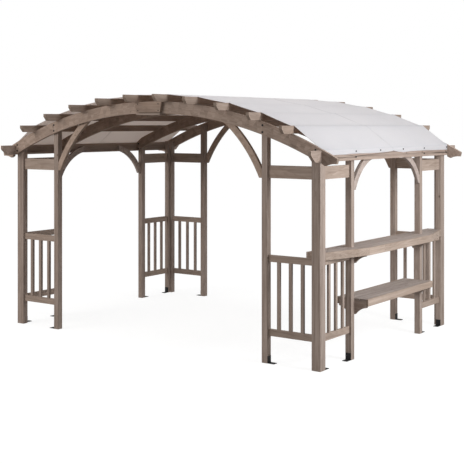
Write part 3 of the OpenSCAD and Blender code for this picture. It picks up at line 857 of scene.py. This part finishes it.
def cloth_path():
    """Points (x, z, slack) of the line that the cloth lies on. On a hem, slack goes from 0 to -1."""
    h = PURLIN_T / 2
    first = purlin_x(0) - h
    beam = (BEAM_OUT + FIT, BEAM_TOP + FIT)
    right = span((-first, purlin_top(0)), (first, purlin_top(0)), SPAN_STEPS, first=SPAN_STEPS // 2)
    for i in range(PURLIN_PAIRS):
        x, z = purlin_x(i), purlin_top(i)
        right += [(x - h + 2 * h * k / 3, z, 0.0) for k in range(3)]
        if i < PURLIN_PAIRS - 1:
            right += span((x + h, z), (purlin_x(i + 1) - h, purlin_top(i + 1)), SPAN_STEPS)
        else:
            right += span((x + h, z), beam, END_SPAN_STEPS)
    right += [(beam[0], beam[1] - HEM * k / HEM_STEPS, -k / HEM_STEPS) for k in range(HEM_STEPS + 1)]
    return [(-x, z, slack) for x, z, slack in reversed(right[1:])] + right


def cloth_rows():
    """Y of the lines of points along the cloth, with close ones at the seam and the edges."""
    ys = [-NOTCH_Y + 2 * NOTCH_Y * j / ROWS for j in range(ROWS + 1)]
    ys = [y for y in ys if not SEAM_LO - SEAM_CLEAR < y < SEAM_HI + SEAM_CLEAR]
    ys += [SEAM_LO - SEAM_STEP, SEAM_LO, SEAM_HI, SEAM_HI + SEAM_STEP, -CLOTH_Y, CLOTH_Y]
    return sorted(ys)


def crease(x, y, slack):
    """Slow waves and small creases where the cloth is free, weaker towards its edges."""
    rise = noise.noise(Vector((x * 2.2, y * 1.6, 3.0))) * WAVE
    rise += noise.noise(Vector((x * 3.0 + y * 7.0, y * 2.0 - x, 8.0))) * CREASE
    edge = min(1.0, (CLOTH_Y - abs(y)) / EDGE_FADE)
    return rise * slack * (0.25 + 0.75 * edge) + FREE_LIFT * slack * edge


def hem_drop(y, side):
    """How far the hem's lower edge hangs below the top of the beam."""
    if side < 0:
        return HEM + HEM_WAVER * noise.noise(Vector((y * 3.2, 4.0, 6.0)))
    for (y0, d0), (y1, d1) in zip(HEM_LINE, HEM_LINE[1:]):
        if y <= y1:
            t = min(1.0, max(0.0, (y - y0) / (y1 - y0)))
            t = t * t * (3 - 2 * t)
            return d0 + (d1 - d0) * t
    return HEM_LINE[-1][1]


def hem_point(x, y, depth):
    """The hem stands a little off the beam between its screws, more so lower down."""
    near = min(abs(abs(y) - s) for s in SCREW_Y)
    free = min(1.0, near / SCREW_HOLD) ** 2
    wave = 0.6 + 0.4 * noise.noise(Vector((y * 5.0, sign(x) * 2.0, 1.0)))
    out = HEM_OFF + HEM_BULGE * depth * free * wave
    return x + sign(x) * out, BEAM_TOP + FIT - depth * hem_drop(y, sign(x))


def cloth_point(x, y, z, slack, at_edge):
    px, pz = x, z + CLOTH_LIFT
    if slack > 0:
        pz += crease(x, y, slack)
    if SEAM_LO <= y <= SEAM_HI:
        pz += SEAM_LIFT
    if slack <= 0 and abs(x) > BEAM_OUT - 0.001:
        px, pz = hem_point(x, y, -slack)
    if at_edge and slack >= 0 and abs(x) > CORNER_X:
        pz = max(pz, arch_top(x) + CORNER_LIFT)
    return px, y, pz


def canopy():
    path = cloth_path()
    ys = cloth_rows()
    last = len(ys) - 1
    bm = bmesh.new()
    rows = []
    for x, z, slack in path:
        row = []
        for j, y in enumerate(ys):
            # The hem ends at the arches, so it has no points beyond them
            notched = slack < 0 and j in (0, last)
            spot = cloth_point(x, y, z, slack, j in (0, 1, last - 1, last))
            row.append(None if notched else bm.verts.new(spot))
        rows.append(row)
    for a, b in zip(rows, rows[1:]):
        for j in range(last):
            corners = [a[j], b[j], b[j + 1], a[j + 1]]
            if None not in corners:
                bm.faces.new(corners)
    bmesh.ops.recalc_face_normals(bm, faces=bm.faces)
    ob = piece("canopy_sheet", bm, MATS["cloth"], smooth=True)
    thick = ob.modifiers.new("thickness", "SOLIDIFY")
    thick.thickness = CLOTH_T
    thick.offset = 0.0
    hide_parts("canopy")


canopy()


# Floor: nearly white where it is seen, with the object's shadow on it, and plain matt to all other light
FLOOR_HALF = 60.0
FLOOR_Z = -0.0005
FLOOR_NEAR, FLOOR_FAR = 3.0, 7.0
FLOOR_GLOW, FLOOR_GLOW_MORE = 0.86, 0.135
FLOOR_BOUNCE = (0.23, 0.215, 0.20, 1.0)
FLOOR_SEEN_NEAR = (0.22, 0.22, 0.22, 1.0)
FLOOR_SEEN_FAR = (0.02, 0.02, 0.02, 1.0)


def floor_material():
    material, g, shader = new_material("pale_floor", 1.0, 0.0)
    seen = g.seen()
    place = g.add("ShaderNodeNewGeometry").outputs["Position"]
    far = g.step(g.vmath("LENGTH", place), FLOOR_NEAR, FLOOR_FAR)
    pale = g.mix(far, FLOOR_SEEN_NEAR, FLOOR_SEEN_FAR)
    g.put(shader.inputs["Base Color"], g.mix(seen, FLOOR_BOUNCE, pale))
    glow = g.add("ShaderNodeEmission")
    g.put(glow.inputs["Color"], (*WHITE, 1.0))
    g.put(glow.inputs["Strength"], g.times(seen, g.math("MULTIPLY_ADD", far, FLOOR_GLOW_MORE, FLOOR_GLOW)))
    both = g.add("ShaderNodeAddShader")
    g.put(both.inputs[0], shader.outputs[0])
    g.put(both.inputs[1], glow.outputs[0])
    g.put(material.node_tree.nodes["Material Output"].inputs[0], both.outputs[0])
    return material


def floor():
    bm = bmesh.new()
    bmesh.ops.create_grid(bm, x_segments=1, y_segments=1, size=FLOOR_HALF)
    mesh = bpy.data.meshes.new("floor")
    bm.to_mesh(mesh)
    bm.free()
    mesh.materials.append(floor_material())
    ob = bpy.data.objects.new("floor", mesh)
    ob.location = (0.0, 0.0, FLOOR_Z)
    bpy.context.scene.collection.objects.link(ob)


floor()


# World: white where it is seen, and a soft fill for the rest
WORLD_FILL = 0.35


def world():
    studio = bpy.data.worlds.new("studio")
    bpy.context.scene.world = studio
    studio.use_nodes = True
    g = Graph(studio.node_tree)
    back = studio.node_tree.nodes["Background"]
    g.put(back.inputs["Color"], (*WHITE, 1.0))
    g.put(back.inputs["Strength"], g.math("MULTIPLY_ADD", g.seen(), 1.0 - WORLD_FILL, WORLD_FILL))


world()

# Soft boxes: name, place, what they aim at, size, watts and colour
LAMPS = [
    ("key", (6.8, -0.6, 3.0), (1.0, 0.0, 1.4), (2.4, 2.8), 322.0, (0.96, 0.99, 1.0)),
    ("front_left", (-4.7, -8.2, 4.1), (-0.5, 0.0, 1.5), (6.0, 3.0), 365.0, (1.0, 0.97, 0.93)),
    ("overhead", (0.0, 0.0, 8.0), (0.0, 0.0, 0.0), (6.0, 6.0), 310.0, WHITE),
]


def soft_box(name, place, aim, size, power, color):
    lamp = bpy.data.lights.new(name, "AREA")
    lamp.shape = "RECTANGLE"
    lamp.size, lamp.size_y = size
    lamp.energy = power
    lamp.color = color
    ob = bpy.data.objects.new(name, lamp)
    ob.location = place
    ob.rotation_euler = (Vector(place) - Vector(aim)).to_track_quat("Z", "Y").to_euler()
    bpy.context.scene.collection.objects.link(ob)


for lamp_values in LAMPS:
    soft_box(*lamp_values)

bpy.context.scene.view_settings.view_transform = "Standard"
